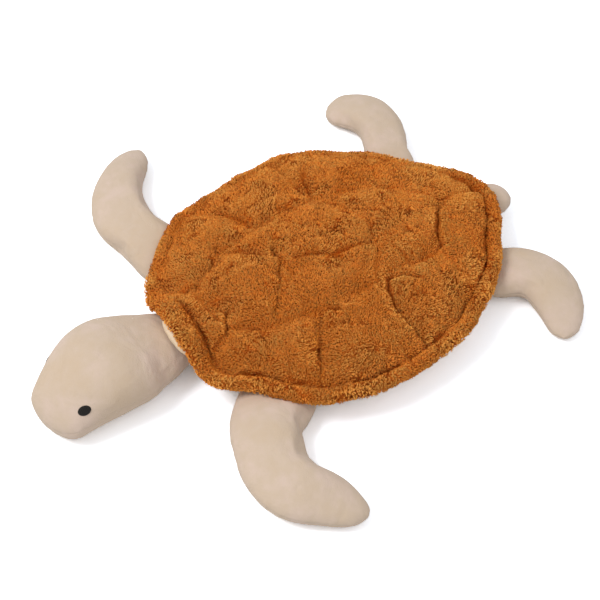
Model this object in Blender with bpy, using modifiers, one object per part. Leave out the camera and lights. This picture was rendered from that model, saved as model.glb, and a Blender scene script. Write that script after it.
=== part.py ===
"""Plush sea turtle, built the way the toy is sewn: stuffed limbs hinged at their root seams
under the rolled rim of a quilted shell. Metres, +Z up, head towards -Y, the turtle's left at +X.
The origin is on the flat of the belly, on the toy's plane of symmetry."""
import math

import bmesh
import bpy
from mathutils import Matrix, Vector

# Fabrics, filling and the clearance that sewn layers keep from each other
touch_gap = 0.0003
fabric_thickness = 0.0020
plush_thickness = 0.0028
least_wadding = 0.0026

# Shell, measured over its rolled rim
shell_length = 0.3143
shell_width = 0.2636
shell_front = -0.1060
crown_height = 0.0575
rim_crest_height = 0.0378
rim_edge_height = 0.0312
rim_under_height = 0.0262
rim_stitch_height = 0.0335
rim_crest_inset = 0.0045
rim_edge_bulge = 0.0030
rim_hem_inset = 0.0045
rim_stitch_inset = 0.0115
collar_rise = 0.0170
collar_overhang = 0.0045
collar_width = 0.100
scute_puff = 0.0048
scute_shoulder = 0.0090

# Body bag below the shell
body_seam_height = 0.0220
body_side_inset = 0.0055
body_flank_height = 0.0085
body_flank_inset = 0.0080
belly_edge_inset = 0.0270
body_shoulder_inset = 0.0130
belly_flat_depth = 0.0005

# Head
head_length = 0.108
head_width = 0.0930
head_height = 0.0570
neck_width = 0.078
neck_depth = 0.0340
neck_axis_setback = 0.0085
neck_axis_height = 0.0210
head_seam_height = 0.0180
eye_length = 0.0110
eye_height = 0.0078
eye_thickness = 0.0022
eye_setback = 0.0289
eye_level = 0.0405

# Flippers
flipper_axis_height = 0.0130
flipper_root_depth = 0.0240
flipper_seam_height = 0.0150
flipper_axis_reach = 0.0015
floor_clearance = 0.0005
front_flipper_length = 0.140
front_flipper_width = 0.066
front_flipper_thickness = 0.0290
front_root_width = 0.062
rear_flipper_length = 0.102
rear_flipper_width = 0.052
rear_flipper_thickness = 0.0260
rear_root_width = 0.049

# Tail
tail_length = 0.0240
tail_root_width = 0.036
tail_root_depth = 0.0200
tail_axis_height = 0.0150
tail_seam_height = 0.0160
tail_width = 0.034
tail_thickness = 0.0170

# Cutting blocks reach this far past what they cut
overrun = 0.02

# Half of the shell's outline from the middle of the neck edge to the tail, as shares of half the
# width and of the length
outline_shares = (
    (0.0, 0.0), (0.167, -0.003), (0.318, 0.002), (0.470, 0.033), (0.621, 0.111), (0.894, 0.223),
    (0.985, 0.382), (1.0, 0.544), (0.903, 0.678), (0.706, 0.803), (0.410, 0.924), (0.0, 1.0),
)
# Rim points where the seams between the side scutes run out, and where the flippers are sewn in
neck_seam_rim = 2
front_seam_rim = 5
middle_seam_rim = 7
rear_seam_rim = 9
tail_rim = 11
front_root_rims = (3, 5)
rear_root_rims = (9, 10)
# Corners of the quilted scutes on the left half, as shares in the same frame
scute_corner_shares = {
    "nuchal": (0.158, 0.137), "first_side": (0.329, 0.238), "second_front": (0.076, 0.354),
    "second_side": (0.404, 0.344), "third_side": (0.404, 0.535), "third_front": (0.088, 0.614),
    "fourth_side": (0.303, 0.715), "fourth_rear": (0.0, 0.855),
}
dome_power_share = 2.4
seam_crease_share = 1.0
# The collar fades out towards the middle of the shell and falls off towards its ends
collar_fade_share = 0.30
collar_end_power_share = 3
collar_side_power_share = 2
collar_fade_power_share = 1.5
# Inner rings of the body bag, as shares of its width and length
belly_ring_share = 0.55
top_ring_shares = (0.70, 0.36)

# Stuffed pieces, root to tip: along the limb, across it (rearwards positive, or to the left on the
# head), half width, half thickness, as shares of the limb's length, length, half width and half thickness
front_left_shares = (
    (0.136, 0.010, 0.93, 0.93), (0.390, 0.105, 0.87, 1.0), (0.510, 0.265, 0.82, 0.96),
    (0.560, 0.465, 0.68, 0.78), (0.572, 0.675, 0.40, 0.42),
)
front_right_shares = (
    (0.120, 0.120, 0.88, 0.93), (0.285, 0.220, 0.90, 1.0), (0.380, 0.400, 0.85, 0.96),
    (0.420, 0.620, 0.70, 0.78), (0.425, 0.850, 0.44, 0.42),
)
rear_left_shares = (
    (0.178, 0.085, 1.0, 0.95), (0.410, -0.005, 1.02, 1.0), (0.540, -0.245, 0.90, 0.88),
    (0.570, -0.535, 0.50, 0.46),
)
rear_right_shares = (
    (0.198, -0.085, 0.86, 0.95), (0.430, -0.195, 0.95, 1.0), (0.605, -0.445, 0.92, 0.88),
    (0.625, -0.790, 0.52, 0.46),
)
head_shares = (
    (0.090, 0.000, 0.92, 0.66), (0.215, 0.000, 1.05, 0.88), (0.390, 0.000, 1.07, 1.0),
    (0.570, 0.016, 1.01, 0.98), (0.740, 0.052, 0.86, 0.87), (0.880, 0.098, 0.66, 0.64),
    (0.960, 0.120, 0.43, 0.34),
)
# How high each of the head's rings is centred between the neck's axis and half the head's height
head_lift_shares = (0.10, 0.75, 1.0, 1.0, 0.75, 0.30, 0.05)
tail_shares = ((0.35, 0.0, 1.0, 1.0), (0.80, 0.0, 0.72, 0.70))
# The end of a root inside its socket: how far in, and how much of the root's section is left there
flipper_end_shares = (-0.76, 0.62)
neck_end_shares = (-0.84, 0.52)
flipper_ring_points = 6
head_ring_points = 8

# Facets round a socket and along it, and round an eye and over it
socket_segments = 14
socket_rings = 8
eye_segments = 16
eye_rings = 8
# How a closed ring of cage points is rounded by one subdivision, and how often that is worked back
own_share = 2 / 3
neighbour_share = 1 / 6
rounding_passes = 6

materials_seen = {
    "rust_curly_plush": ("B86C2C", 1.0),
    "cream_cotton_plush": ("D8C3AE", 0.95),
    "cream_lining": ("EAD3B4", 0.95),
    "polyester_fill": ("F2EFE8", 1.0),
    "black_embroidery": ("17130F", 0.60),
}


def linear_colour(hex_code):
    """Linear RGBA of an sRGB hex colour."""
    channels = [int(hex_code[i:i + 2], 16) / 255 for i in (0, 2, 4)]
    return [c / 12.92 if c <= 0.04045 else ((c + 0.055) / 1.055) ** 2.4 for c in channels] + [1.0]


def make_material(name):
    hex_code, roughness = materials_seen[name]
    material = bpy.data.materials.new(name)
    material.use_nodes = True
    shader = material.node_tree.nodes["Principled BSDF"]
    shader.inputs["Base Color"].default_value = linear_colour(hex_code)
    shader.inputs["Roughness"].default_value = roughness
    shader.inputs["Metallic"].default_value = 0.0
    return material


def new_object(name, bm, collection, material=None, parent=None):
    """An object from a bmesh, given in its parent's frame. Without a material it is a cutter."""
    mesh = bpy.data.meshes.new(name)
    bm.to_mesh(mesh)
    bm.free()
    mesh.shade_smooth()
    obj = bpy.data.objects.new(name, mesh)
    collection.objects.link(obj)
    obj.parent = parent
    if material:
        mesh.materials.append(material)
    else:
        obj.hide_render = True
        obj.display_type = "WIRE"
    return obj


def soften(obj):
    """Round the coarse cage, then fix its triangles so that offset copies never cross."""
    subdivision = obj.modifiers.new("Round", "SUBSURF")
    subdivision.levels = 1
    subdivision.render_levels = 1
    subdivision.boundary_smooth = "PRESERVE_CORNERS"
    triangles = obj.modifiers.new("Triangles", "TRIANGULATE")
    triangles.quad_method = "FIXED"


def grow(obj, distance):
    """Move the surface out along its normals, or in where the distance is negative."""
    if distance:
        displace = obj.modifiers.new("Offset", "DISPLACE")
        displace.direction = "NORMAL"
        displace.mid_level = 0.0
        displace.strength = distance


def thicken(obj, thickness):
    """Give an open sheet its thickness, inwards from the outer face."""
    solidify = obj.modifiers.new("Thickness", "SOLIDIFY")
    solidify.thickness = thickness
    solidify.offset = -1.0


def combine(obj, other, operation):
    boolean = obj.modifiers.new(operation.title(), "BOOLEAN")
    boolean.operation = operation
    boolean.solver = "EXACT"
    boolean.object = other


def make_block(name, low, high, collection):
    bm = bmesh.new()
    size = Vector(high) - Vector(low)
    middle = (Vector(high) + Vector(low)) / 2
    bmesh.ops.create_cube(bm, size=1.0, matrix=Matrix.Translation(middle) @ Matrix.Diagonal(size.to_4d()))
    return new_object(name, bm, collection)


def shell_point(shares, side=1):
    """A plan point of the shell from its shares, on the left (1) or the right (-1)."""
    return Vector((side * shares[0] * shell_width / 2, shell_front + shares[1] * shell_length, 0.0))


def rim_ring(inset):
    """The outline's points all round, left half first, moved in by an inset."""
    half = [shell_point(shares) for shares in outline_shares]
    whole = half + [Vector((-p.x, p.y, 0.0)) for p in reversed(half[1:-1])]
    ring = []
    for i, point in enumerate(whole):
        along = (whole[(i + 1) % len(whole)] - whole[i - 1]).normalized()
        inward = Vector((-along.y, along.x, 0.0))
        ring.append(point + inward * inset)
    return ring


def cage_ring(points):
    """A closed ring of cage points that one subdivision rounds onto the given points."""
    cage = list(points)
    for _ in range(rounding_passes):
        rounded = [own_share * here + neighbour_share * (cage[i - 1] + cage[(i + 1) % len(cage)])
                   for i, here in enumerate(cage)]
        cage = [here + wanted - got for here, wanted, got in zip(cage, points, rounded)]
    return cage


def dome_centre():
    return shell_point((0.0, 0.5))


def edge_share(point):
    """How far a plan point lies from the shell's middle (0) to its outline (1)."""
    ring = rim_ring(0.0)
    ray = Vector((point.x, point.y, 0.0)) - dome_centre()
    if ray.length == 0:
        return 0.0
    for a, b in zip(ring, ring[1:] + ring[:1]):
        start, edge = a - dome_centre(), b - a
        bend = ray.x * edge.y - ray.y * edge.x
        if bend == 0:
            continue
        reach = (start.x * edge.y - start.y * edge.x) / bend
        along = (start.x * ray.y - start.y * ray.x) / bend
        if reach > 0 and 0 <= along <= 1:
            return 1 / reach
    return 1.0


def collar_lift(point):
    """Extra height of the rim where it stands up over the neck."""
    if point.y > dome_centre().y:
        return 0.0
    across = min(1.0, abs(point.x) / (collar_width / 2))
    inwards = min(1.0, max(0.0, (1 - edge_share(point)) / collar_fade_share))
    level = (1 - across ** collar_end_power_share) ** collar_side_power_share
    return collar_rise * level * (1 - inwards) ** collar_fade_power_share


def layer_stack():
    """Height of the quilt's seams above the body: thin wadding, plush and their gaps."""
    return 2 * touch_gap + least_wadding + plush_thickness


def body_top(point):
    """Height of the body bag's upper side at a plan point."""
    crown = crown_height - layer_stack() - scute_puff
    stitch_share = 1 - rim_stitch_inset / (shell_width / 2)
    stitch = rim_stitch_height - layer_stack()
    fall = 1 - stitch_share ** dome_power_share
    edge = (stitch - fall * crown) / (1 - fall)
    rise = (crown - edge) * (1 - min(1.0, edge_share(point)) ** dome_power_share)
    return edge + rise + collar_lift(point)


def at_height(point, height):
    return Vector((point.x, point.y, height))


def loft(rings, flat_start=False):
    """A closed cage through rings of points, capped at both ends, the first end flat or rounded."""
    bm = bmesh.new()
    crease = bm.edges.layers.float.new("crease_edge")
    loops = [[bm.verts.new(point) for point in ring] for ring in rings]
    count = len(loops[0])
    for near, far in zip(loops, loops[1:]):
        for i in range(count):
            bm.faces.new((near[i], near[(i + 1) % count], far[(i + 1) % count], far[i]))
    start = bm.faces.new(reversed(loops[0]))
    bm.faces.new(loops[-1])
    if flat_start:
        for edge in start.edges:
            edge[crease] = seam_crease_share
    bmesh.ops.recalc_face_normals(bm, faces=bm.faces)
    return bm


def shrunk_ring(share):
    return [dome_centre() + (p - dome_centre()) * share for p in rim_ring(body_shoulder_inset)]


def body_cage():
    """The stuffed body bag, belly up to the underside of the shell."""
    belly_low = -belly_flat_depth
    rings = [
        [at_height(p, belly_low) for p in shrunk_ring(belly_ring_share)],
        [at_height(p, belly_low) for p in rim_ring(belly_edge_inset)],
        [at_height(p, body_flank_height) for p in rim_ring(body_flank_inset)],
        [at_height(p, body_seam_height + collar_lift(p)) for p in rim_ring(body_side_inset)],
        [at_height(p, body_top(p)) for p in rim_ring(body_shoulder_inset)],
    ]
    for share in top_ring_shares:
        rings.append([at_height(p, body_top(p)) for p in shrunk_ring(share)])
    return loft([cage_ring(ring) for ring in rings])


def make_body_form(name, collection, cutters, sockets, growth, clearance, floor_height, material=None):
    """The body bag grown or shrunk, with its limb sockets and its flat belly cut in."""
    form = new_object(name, body_cage(), collection, material)
    soften(form)
    grow(form, growth)
    for socket in sockets:
        hollow = make_socket(name + "_" + socket["name"], socket, clearance, cutters)
        combine(form, hollow, "DIFFERENCE")
    reach = shell_length
    floor = make_block(name + "_floor", (-reach, -reach, -overrun), (reach, reach, floor_height), cutters)
    combine(form, floor, "DIFFERENCE")
    return form


def make_socket(name, root, clearance, collection):
    """A facetted round about a limb's hinge axis, its flats clear of the limb's root."""
    bm = bmesh.new()
    spread = 1 / math.cos(math.pi / socket_segments)
    radius = (root["depth"] / 2 + clearance) * spread
    size = Matrix.Diagonal((radius, radius, (root["width"] / 2 + clearance) * spread, 1.0))
    turn = Matrix.Rotation(math.pi / 2, 4, "X")
    bmesh.ops.create_uvsphere(bm, u_segments=socket_segments, v_segments=socket_rings, radius=1.0,
                              matrix=root["frame"] @ turn @ size)
    return new_object(name, bm, collection)


def root_frame(name, position, outward, width, depth):
    """A limb's own frame: X out of the body, Y across, Z up, on its hinge axis."""
    out = Vector((outward[0], outward[1], 0.0)).normalized()
    across = Vector((0.0, 0.0, 1.0)).cross(out)
    turn = Matrix((out, across, Vector((0.0, 0.0, 1.0)))).transposed().to_4x4()
    return {"name": name, "frame": Matrix.Translation(position) @ turn, "width": width, "depth": depth}


def flipper_root(name, rims, side, width):
    """A flipper's hinge just outside the rim, along the chord between two rim points."""
    a, b = (shell_point(outline_shares[i], side) for i in rims)
    chord = (b - a).normalized()
    out = Vector((chord.y, -chord.x, 0.0)) * side
    middle = (a + b) / 2 + out * flipper_axis_reach
    return root_frame(name, at_height(middle, flipper_axis_height), out, width, flipper_root_depth)


def stuffed_cage(root, end_shares, stations, size, centre_height, ring_points, side=1, lifts=None):
    """A stuffed limb in its own frame, swelling from its round root and tapering to its tip."""
    length, width, thickness = size
    rise = centre_height - root["frame"].translation.z
    swell = 1 / (own_share + 2 * neighbour_share * math.cos(2 * math.pi / ring_points))
    half_width, half_depth = root["width"] / 2, root["depth"] / 2
    inward, left = end_shares
    sections = [
        (Vector((half_depth * inward, 0, 0)), half_width * left, half_depth * left),
        (Vector((0, 0, 0)), half_width, half_depth),
    ]
    for i, (along, across, wide, thick) in enumerate(stations):
        lift = rise * (lifts[i] if lifts else 1.0)
        centre = Vector((along * length, side * across * length, lift))
        sections.append((centre, wide * width / 2, thick * thickness / 2))
    rings = []
    for i, (centre, wide, thick) in enumerate(sections):
        across = Vector((0, 1, 0))
        if i > 1:
            path = sections[min(i + 1, len(sections) - 1)][0] - sections[i - 1][0]
            across = Vector((-path.y, path.x, 0)).normalized()
        ring = []
        for k in range(ring_points):
            angle = 2 * math.pi * k / ring_points
            ring.append(centre + across * (wide * swell * math.cos(angle))
                        + Vector((0, 0, thick * swell * math.sin(angle))))
        rings.append(ring)
    return loft(rings, flat_start=True)


def make_hinge(root, collection):
    """An empty on the limb's hinge axis that carries the limb's pieces."""
    hinge = bpy.data.objects.new(root["name"] + "_hinge", None)
    hinge.matrix_world = root["frame"]
    collection.objects.link(hinge)
    return hinge


def make_stuffed(root, cage, seam_height, parts, cutters, fabric, fill):
    """A limb's two sewn panels, parted at the seam, and its stuffing."""
    name = root["name"]
    hinge = make_hinge(root, parts)
    core = new_object(name + "_inner_form", cage(), cutters, parent=hinge)
    soften(core)
    grow(core, -fabric_thickness)
    reach = shell_length
    seam_blocks = {
        "upper_panel": make_block(name + "_above_seam", (-reach, -reach, seam_height + touch_gap / 2),
                                  (reach, reach, reach), cutters),
        "lower_panel": make_block(name + "_below_seam", (-reach, -reach, -reach),
                                  (reach, reach, seam_height - touch_gap / 2), cutters),
    }
    for label, seam_block in seam_blocks.items():
        panel = new_object(name + "_" + label, cage(), parts, fabric, hinge)
        soften(panel)
        combine(panel, seam_block, "INTERSECT")
        combine(panel, core, "DIFFERENCE")
    stuffing = new_object(name + "_stuffing", cage(), parts, fill, hinge)
    soften(stuffing)
    grow(stuffing, -fabric_thickness - touch_gap)


def scute_sheet(rim_levels):
    """The quilt's scutes as an open sheet, with the rim's rows outside them where they are asked for."""
    bm = bmesh.new()
    crease = bm.edges.layers.float.new("crease_edge")
    corners = {}
    for name, shares in scute_corner_shares.items():
        for side in (1, -1):
            point = shell_point(shares, side)
            twin = corners.get((name, -side))
            if twin and shares[0] == 0:
                corners[name, side] = twin
            else:
                corners[name, side] = bm.verts.new(at_height(point, body_top(point) + layer_stack()))
    stitch = [bm.verts.new(at_height(p, rim_stitch_height + collar_lift(p)))
              for p in rim_ring(rim_stitch_inset)]
    count = len(stitch)

    def rim(index, side):
        return stitch[index if side > 0 else (count - index) % count]

    def rim_run(first, last, side):
        return [rim(i, side) for i in range(first, last + 1)]

    def middle_scute(left_side):
        """A scute across the middle: its corners down the left side, then up the right."""
        left = [corners[name, 1] for name in left_side]
        right = [corners[name, -1] for name in reversed(left_side)]
        return left + [corner for corner in right if corner not in left]

    neck_edge = rim_run(1, neck_seam_rim, -1)[::-1] + rim_run(0, neck_seam_rim, 1)
    scutes = [
        bm.faces.new([corners["nuchal", -1]] + neck_edge + [corners["nuchal", 1]]),
        bm.faces.new(middle_scute(("nuchal", "first_side", "second_front"))),
        bm.faces.new(middle_scute(
            ("second_front", "first_side", "second_side", "third_side", "third_front"))),
        bm.faces.new(middle_scute(("third_front", "third_side", "fourth_side", "fourth_rear"))),
    ]
    for side in (1, -1):
        scutes.append(bm.faces.new(
            [corners["nuchal", side]] + rim_run(neck_seam_rim, front_seam_rim, side)
            + [corners["second_side", side], corners["first_side", side]]))
        scutes.append(bm.faces.new(
            [corners["second_side", side]] + rim_run(front_seam_rim, middle_seam_rim, side)
            + [corners["third_side", side]]))
        scutes.append(bm.faces.new(
            [corners["third_side", side]] + rim_run(middle_seam_rim, rear_seam_rim, side)
            + [corners["fourth_side", side]]))
        scutes.append(bm.faces.new(
            [corners["fourth_side", side]] + rim_run(rear_seam_rim, tail_rim, side)
            + [corners["fourth_rear", side]]))
    for face in scutes:
        face.normal_update()
        if face.normal.z < 0:
            face.normal_flip()
    for edge in bm.edges:
        edge[crease] = seam_crease_share
    bmesh.ops.inset_individual(bm, faces=scutes, thickness=scute_shoulder, depth=0.0, use_even_offset=True)
    for vert in {vert for face in scutes for vert in face.verts}:
        vert.co.z = body_top(vert.co) + layer_stack() + scute_puff
    last = stitch
    for inset, height in rim_levels:
        row = []
        for point in cage_ring(rim_ring(inset)):
            droop = collar_overhang * collar_lift(point) / collar_rise
            row.append(bm.verts.new(Vector((point.x, point.y - droop, height + collar_lift(point)))))
        for i in range(count):
            j = (i + 1) % count
            bm.faces.new((last[j], last[i], row[i], row[j]))
        last = row
    return bm


def shell_sheet():
    """The quilted scutes with the rolled rim round them, down to its hem."""
    return scute_sheet((
        (rim_crest_inset, rim_crest_height),
        (-rim_edge_bulge, rim_edge_height),
        (rim_hem_inset, rim_under_height),
    ))


def make_shell(parts, cutters, sockets, plush_material, fill):
    """The quilted plush with its rolled rim, and the wadding quilted under it."""
    plush = new_object("shell_plush", shell_sheet(), parts, plush_material)
    soften(plush)
    thicken(plush, plush_thickness)
    over_body = make_body_form("over_body", cutters, cutters, sockets, touch_gap, touch_gap, 0.0)
    wadding = new_object("shell_wadding", scute_sheet(()), parts, fill)
    soften(wadding)
    grow(wadding, -plush_thickness - touch_gap)
    thicken(wadding, layer_stack() + scute_puff)
    combine(wadding, over_body, "DIFFERENCE")


def make_body(parts, cutters, sockets, fabric, lining, fill):
    """The belly panel, the lining under the shell and the body's stuffing."""
    core = make_body_form("body_inner_form", cutters, cutters, sockets, -fabric_thickness,
                          touch_gap + fabric_thickness, fabric_thickness)
    reach = shell_length
    seam_low = body_seam_height - touch_gap / 2
    seam_high = body_seam_height + touch_gap / 2
    below = make_block("below_body_seam", (-reach, -reach, -overrun), (reach, reach, seam_low), cutters)
    above = make_block("above_body_seam", (-reach, -reach, seam_high), (reach, reach, reach), cutters)
    for name, material, seam_block in (("belly_panel", fabric, below), ("shell_lining", lining, above)):
        panel = make_body_form(name, parts, cutters, sockets, 0.0, touch_gap, 0.0, material)
        combine(panel, seam_block, "INTERSECT")
        combine(panel, core, "DIFFERENCE")
    inset = fabric_thickness + touch_gap
    make_body_form("body_stuffing", parts, cutters, sockets, -inset, touch_gap + inset, inset, fill)


def make_eyes(cage, parts, cutters, thread):
    """Satin-stitched oval eyes, lying on the sides of the head."""
    hinge = bpy.data.objects["head_hinge"]
    cover = new_object("head_cover", cage(), cutters, parent=hinge)
    soften(cover)
    bpy.context.view_layer.update()
    head_surface = cover.evaluated_get(bpy.context.evaluated_depsgraph_get())
    for name, side in (("left_eye", 1), ("right_eye", -1)):
        start = Vector((head_length - eye_setback, side * head_width, eye_level - neck_axis_height))
        hit, place, normal, face = head_surface.ray_cast(start, Vector((0, -side, 0)))
        forward = (Vector((1, 0, 0)) - normal * normal.x).normalized()
        turn = Matrix((forward, normal.cross(forward), normal)).transposed().to_4x4()
        size = Matrix.Diagonal((eye_length / 2, eye_height / 2, eye_thickness / 2, 1.0))
        bm = bmesh.new()
        bmesh.ops.create_uvsphere(bm, u_segments=eye_segments, v_segments=eye_rings, radius=1.0,
                                  matrix=Matrix.Translation(place) @ turn @ size)
        eye = new_object(name, bm, parts, thread, hinge)
        combine(eye, cover, "DIFFERENCE")
    grow(cover, touch_gap)


def main():
    for obj in list(bpy.data.objects):
        bpy.data.objects.remove(obj)
    parts = bpy.data.collections.new("plush_turtle")
    cutters = bpy.data.collections.new("cutters")
    bpy.context.scene.collection.children.link(parts)
    bpy.context.scene.collection.children.link(cutters)
    seen = {name: make_material(name) for name in materials_seen}
    cream = seen["cream_cotton_plush"]
    fill = seen["polyester_fill"]

    neck_place = Vector((0.0, shell_front - neck_axis_setback, neck_axis_height))
    head_root = root_frame("head", neck_place, (0, -1), neck_width, neck_depth)
    tail_place = Vector((0.0, shell_front + shell_length, tail_axis_height))
    tail_root = root_frame("tail", tail_place, (0, 1), tail_root_width, tail_root_depth)
    front_size = (front_flipper_length, front_flipper_width, front_flipper_thickness)
    rear_size = (rear_flipper_length, rear_flipper_width, rear_flipper_thickness)
    flippers = (
        ("front_left_flipper", front_root_rims, front_root_width, 1, front_left_shares, front_size),
        ("front_right_flipper", front_root_rims, front_root_width, -1, front_right_shares, front_size),
        ("rear_left_flipper", rear_root_rims, rear_root_width, 1, rear_left_shares, rear_size),
        ("rear_right_flipper", rear_root_rims, rear_root_width, -1, rear_right_shares, rear_size),
    )
    sockets = [head_root, tail_root]
    for name, rims, root_width, side, shares, size in flippers:
        root = flipper_root(name, rims, side, root_width)
        sockets.append(root)

        def flipper_cage():
            return stuffed_cage(root, flipper_end_shares, shares, size, size[2] / 2 + floor_clearance,
                                flipper_ring_points, side)

        make_stuffed(root, flipper_cage, flipper_seam_height, parts, cutters, cream, fill)

    def head_cage():
        size = (head_length, head_width, head_height)
        return stuffed_cage(head_root, neck_end_shares, head_shares, size,
                            head_height / 2 + floor_clearance, head_ring_points, lifts=head_lift_shares)

    def tail_cage():
        size = (tail_length, tail_width, tail_thickness)
        return stuffed_cage(tail_root, flipper_end_shares, tail_shares, size,
                            tail_axis_height, flipper_ring_points)

    make_stuffed(head_root, head_cage, head_seam_height, parts, cutters, cream, fill)
    make_stuffed(tail_root, tail_cage, tail_seam_height, parts, cutters, cream, fill)
    make_eyes(head_cage, parts, cutters, seen["black_embroidery"])
    make_body(parts, cutters, sockets, cream, seen["cream_lining"], fill)
    make_shell(parts, cutters, sockets, seen["rust_curly_plush"], fill)


main()
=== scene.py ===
"""Plush sea turtle: the looks. Stuffed skins, a quilted shell with its pile, and a pale studio.
Metres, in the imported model's frame: the head points to -Y and the turtle's left is +X."""
import math

import bmesh
import bpy
import numpy as np
from bpy.props import FloatProperty, FloatVectorProperty, IntProperty, PointerProperty
from mathutils import Matrix, Vector, noise


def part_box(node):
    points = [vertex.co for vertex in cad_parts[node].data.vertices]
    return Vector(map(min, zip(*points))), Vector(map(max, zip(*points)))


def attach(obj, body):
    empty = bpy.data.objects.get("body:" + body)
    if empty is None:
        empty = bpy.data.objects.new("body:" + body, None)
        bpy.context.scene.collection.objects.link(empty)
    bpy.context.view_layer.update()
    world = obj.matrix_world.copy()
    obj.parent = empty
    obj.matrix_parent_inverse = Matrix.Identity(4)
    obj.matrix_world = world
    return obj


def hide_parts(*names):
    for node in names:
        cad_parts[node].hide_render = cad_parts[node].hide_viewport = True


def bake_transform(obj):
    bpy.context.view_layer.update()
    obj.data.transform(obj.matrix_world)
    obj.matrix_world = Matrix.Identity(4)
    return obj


bl_info = {
    "name": "Plush Turtle",
    "version": (1, 0, 0),
    "blender": (4, 5, 0),
    "location": "View3D > Sidebar > Plush Turtle",
    "description": "Sews and stuffs a plush sea turtle with a quilted teddy shell",
    "category": "Object",
}

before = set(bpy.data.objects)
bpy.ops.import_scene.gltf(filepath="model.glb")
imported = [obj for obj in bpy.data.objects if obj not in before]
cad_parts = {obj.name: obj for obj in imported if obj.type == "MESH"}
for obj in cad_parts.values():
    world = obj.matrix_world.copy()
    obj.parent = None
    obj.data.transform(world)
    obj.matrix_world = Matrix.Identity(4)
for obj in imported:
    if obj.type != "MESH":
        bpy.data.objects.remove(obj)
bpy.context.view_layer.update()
MM = 0.001
SHELL_MIDDLE = 0.0512
PILE_PARTS = 8

# The shell's outline in plan down its left side and its right, from the neck edge to the tail, in mm
OUTLINE_LEFT = (
    (0, -101), (22, -102), (42, -101.5), (61, -93), (77, -71.5), (96, -55), (115.5, -33.5), (124.8, -8),
    (129.3, 14), (129.8, 40), (126.5, 64.5), (122.8, 83), (116.5, 105.5), (105.5, 122.5), (92.8, 143.8),
    (80, 158.3), (64.7, 172.3), (50.5, 182), (25.8, 200), (0, 206.6),
)
OUTLINE_RIGHT = (
    (-22, -101.5), (-41, -99.5), (-60, -91), (-80, -74), (-97.5, -57), (-114, -34), (-119.5, -6),
    (-124, 15), (-127, 40.5), (-129, 64.5), (-127.5, 84), (-118, 105.5), (-106, 122), (-92, 143.2),
    (-78, 156.5), (-63, 169), (-50, 181.5), (-25.6, 199.7),
)
# Corners of the quilt's scutes on the left half, in mm
SCUTE_CORNERS = {
    "nuchal": (20.8, -62.8), "first_side": (43.3, -31.2), "second_front": (10.0, 5.4),
    "second_side": (53.2, 2.1), "third_side": (53.2, 62.0), "third_front": (11.6, 86.9),
    "fourth_side": (39.9, 118.6), "fourth_rear": (0.0, 160.0),
    "neck_rim": (42.0, -94.0), "front_rim": (116.0, -32.0), "middle_rim": (112.0, 64.0),
    "rear_rim": (99.0, 140.0), "tail_rim": (0.0, 197.0),
}
SCUTE_SEAMS = (
    ("nuchal", "first_side"), ("first_side", "second_front"), ("first_side", "second_side"),
    ("second_side", "third_side"), ("third_side", "third_front"), ("third_side", "fourth_side"),
    ("fourth_side", "fourth_rear"), ("nuchal", "neck_rim"), ("second_side", "front_rim"),
    ("third_side", "middle_rim"), ("fourth_side", "rear_rim"), ("fourth_rear", "tail_rim"),
)
CROSS_SEAMS = ("nuchal", "second_front", "third_front")
# Creases pulled into the cover by its seams and folds: their points in plan, depth and width, in mm
COVER_CREASES = (
    (((58, 18), (53, 11), (60.6, -1.6), (77.9, -13.5), (96, -23), (117.5, -34)), 3.8, 2.3),
    (((64, 91), (53, 79), (53.3, 68.8), (62.5, 61.6), (85.9, 60.1), (114, 63)), 3.8, 2.3),
    (((9, -56), (28, -65.5)), 4.0, 2.2),
    (((-27, -91), (-13.7, -86), (8, -83), (23.5, -86), (44, -91.4)), 3.6, 2.8),
    (((-24, 5.7), (-10.6, 5.4), (10.8, -8.7), (31, -25)), 3.0, 2.6),
    (((4, 152), (28.1, 133.1), (41.6, 127.6)), 3.4, 2.4),
    (((41.6, 127.6), (47.3, 118), (47.6, 98)), 1.6, 3.4),
    (((-3, 18), (11.8, 43.6), (13.2, 56.2), (13, 76), (8, 82), (-8, 89)), 2.0, 3.6),
    (((32.2, 91.3), (50, 93)), 1.6, 3.0),
    (((-52, -30), (-34, -46)), 1.8, 3.6), (((-60, 66), (-84, 74)), 1.8, 3.6),
    (((-58, 4), (-88, -8)), 1.8, 3.6),
)
# The rim's section where it's rolled: out from the outline and up, and the height where it lies flat, in mm
RIM_SECTION = (
    (-9.6, 32.4, 33.6), (-7.2, 34.1, 33.0), (-4.6, 34.7, 31.8), (-2.3, 33.7, 30.0), (-1.1, 31.5, 28.4),
    (-1.4, 29.0, 26.8), (-3.4, 27.3, 25.9), (-6.6, 27.0, 25.9), (-10.0, 28.0, 27.0),
)

# Stuffed limbs from root to tip, in mm: centre x, centre y, half width, thickness, height of the centre
FRONT_LEFT = (
    (70.0, -44.0, 30.0, 14.0, 13.0), (81.0, -54.0, 32.5, 18.0, 13.0), (91.0, -64.0, 33.0, 22.5, 13.2),
    (104.4, -76.8, 31.4, 27.0, 14.3), (122.0, -83.8, 30.4, 28.5, 15.2), (142.3, -89.8, 29.8, 28.5, 15.2),
    (163.6, -86.4, 29.4, 27.5, 15.0), (182.6, -73.8, 24.8, 23.5, 13.6), (201.0, -61.8, 16.6, 16.5, 11.0),
    (211.8, -52.8, 0.0, 0.0, 9.5),
)
FRONT_RIGHT = (
    (-70.0, -46.0, 27.0, 14.0, 13.0), (-81.0, -54.0, 29.5, 18.0, 13.0), (-91.0, -58.0, 29.0, 22.5, 13.2),
    (-105.2, -61.0, 27.8, 26.5, 14.2),
    (-123.0, -64.5, 26.2, 28.0, 15.0), (-144.5, -67.0, 27.8, 28.5, 15.2), (-168.8, -60.5, 25.8, 27.5, 15.0),
    (-191.7, -46.0, 21.2, 24.0, 13.6), (-208.5, -29.5, 16.6, 17.0, 11.2), (-221.5, -14.5, 0.0, 0.0, 9.5),
)
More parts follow.
